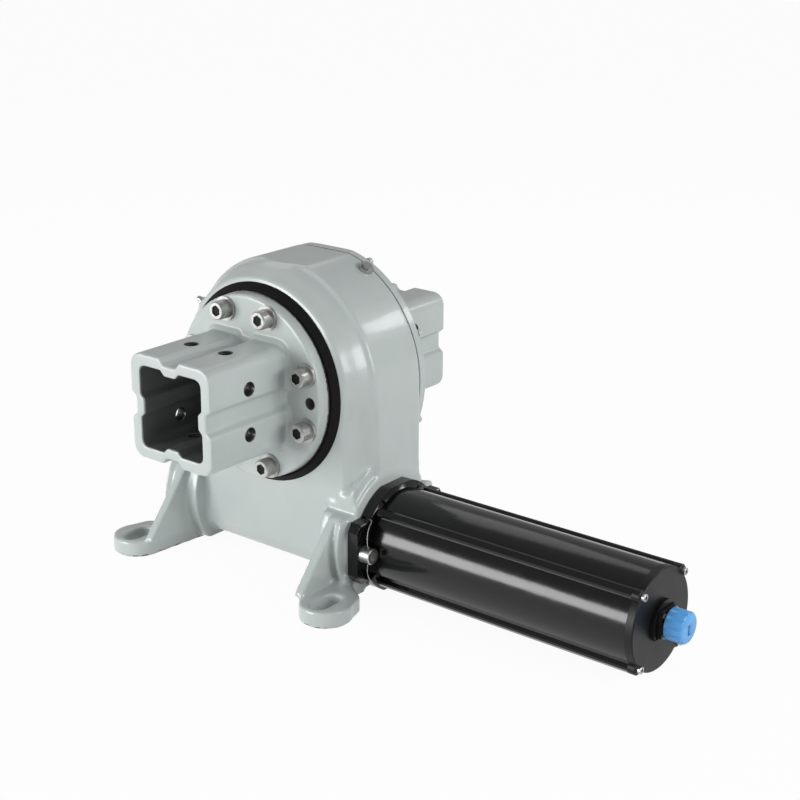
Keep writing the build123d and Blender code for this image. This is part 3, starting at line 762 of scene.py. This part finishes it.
def lock_wire(name, side, up):
    """Two strands twisted together, from a bolt head to the drilled hole in the adapter's rim."""
    bolt = Vector((side * 57.6 * MM, BOLT_HEAD_Y + 5 * MM, MOTOR_Z))

    def spot(x, y, z):
        return Vector((side * x * MM, ADAPTER_FACE_Y + y * MM, MOTOR_Z + up * z * MM))

    knots = [bolt + Vector((side * 1 * MM, 0, up * 8.0 * MM)), bolt + Vector((side * 1.5 * MM, 1.0 * MM, up * 11 * MM)),
             spot(57.5, -4.5, 19), spot(53.5, -3.5, 27), spot(49, -3.0, 31.5), spot(46.65, 1, 31.5)]
    spine = curve_points(knots)
    for strand in (0, 1):
        path = []
        for k, p in enumerate(spine):
            ahead = (spine[min(k + 1, len(spine) - 1)] - spine[max(k - 1, 0)]).normalized()
            u = ahead.cross(Vector((0, 1, 0)))
            u = u.normalized() if u.length > 1e-6 else Vector((1, 0, 0))
            v = ahead.cross(u)
            t = k * 0.62 + strand * pi
            path.append(p + (u * cos(t) + v * sin(t)) * STRAND_R)
        piece = bpy.data.objects.new(name + str(strand), tube_mesh(name + str(strand), path, STRAND_R))
        bpy.context.scene.collection.objects.link(piece)
        piece.data.materials.append(LOOKS["stainless"])
        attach(piece, "housing")


for side in (-1, 1):
    for up in (-1, 1):
        place = ("front" if side < 0 else "rear", "upper" if up > 0 else "lower")
        lock_wire("lock_wire_%s_%s_" % place, side, up)


# ---------------------------------------------------------------- floor, light and camera
FLOOR_GLOW = 0.95
WORLD_LIGHT = 0.38


def pale_floor():
    """A plain pale floor that glows in what the camera and reflections see."""
    bpy.ops.mesh.primitive_plane_add(size=12)
    floor = bpy.context.object
    floor.name = "floor"
    m, t, p = base_material("pale floor", Roughness=0.9)
    p.inputs["Base Color"].default_value = (0.86, 0.86, 0.86, 1)
    seen = add(t, "ShaderNodeLightPath")
    glow = add(t, "ShaderNodeEmission")
    glow.inputs["Color"].default_value = (1, 1, 1, 1)
    blend = add(t, "ShaderNodeMixShader")
    looked = math(t, "MAXIMUM", seen.outputs["Is Camera Ray"], seen.outputs["Is Glossy Ray"])
    link(t, math(t, "MULTIPLY", looked, FLOOR_GLOW), blend.inputs[0])
    link(t, p.outputs[0], blend.inputs[1])
    link(t, glow.outputs[0], blend.inputs[2])
    link(t, blend.outputs[0], t.nodes["Material Output"].inputs["Surface"])
    floor.data.materials.append(m)


def plain_world():
    """A white surround, dimmer as a light than as a backdrop."""
    w = bpy.data.worlds.new("studio")
    bpy.context.scene.world = w
    w.use_nodes = True
    t = w.node_tree
    back = t.nodes["Background"]
    back.inputs["Color"].default_value = (1, 1, 1, 1)
    seen = add(t, "ShaderNodeLightPath")
    level = add(t, "ShaderNodeMix", data_type="FLOAT")
    level.inputs[2].default_value = WORLD_LIGHT
    level.inputs[3].default_value = 1.0
    link(t, seen.outputs["Is Camera Ray"], level.inputs[0])
    link(t, level.outputs[0], back.inputs["Strength"])


def soft_lamp(name, place, target, size, size_y, power):
    """A rectangular lamp at place, facing target."""
    lamp = bpy.data.lights.new(name, "AREA")
    lamp.shape = "RECTANGLE"
    lamp.size, lamp.size_y, lamp.energy = size, size_y, power
    o = bpy.data.objects.new(name, lamp)
    o.location = place
    o.rotation_euler = (Vector(target) - Vector(place)).to_track_quat("-Z", "Y").to_euler()
    bpy.context.scene.collection.objects.link(o)


def camera_at(place, azimuth, elevation, roll, lens):
    """A camera looking down by elevation, with its angles in degrees."""
    az, el, ro = radians(azimuth), radians(elevation), radians(roll)
    right = Vector((cos(az), sin(az), 0))
    ahead = Vector((-sin(az) * cos(el), cos(az) * cos(el), -sin(el)))
    up = right.cross(ahead)
    r2 = right * cos(ro) + up * sin(ro)
    u2 = up * cos(ro) - right * sin(ro)
    turn = Matrix((r2, u2, -ahead)).transposed().to_4x4()
    cam = bpy.data.cameras.new("camera")
    cam.lens = lens
    cam.sensor_width = 36.0
    o = bpy.data.objects.new("camera", cam)
    o.matrix_world = Matrix.Translation(place) @ turn
    bpy.context.scene.collection.objects.link(o)
    bpy.context.scene.camera = o


pale_floor()
plain_world()
soft_lamp("strip", place=(-1.72, 0.72, 0.35), target=(0, -0.27, 0.06), size=1.2, size_y=0.62, power=27)
soft_lamp("motor_side", place=(0.3, -2.4, 1.0), target=(0, -0.1, 0.12), size=1.5, size_y=0.8, power=32)
soft_lamp("patch", place=(1.75, -1.2, 1.2), target=(0, -0.1, 0.2), size=0.35, size_y=0.35, power=4)
soft_lamp("top", place=(1.0, 1.1, 1.7), target=(0, 0, 0.1), size=1.3, size_y=0.9, power=4)
camera_at(place=(-1.170, -1.063, 0.703), azimuth=-51.5, elevation=18.9, roll=0.3, lens=74.0)
bpy.context.scene.view_settings.view_transform = "Standard"


def plain(box):
    return [[float(v) for v in corner] for corner in box]
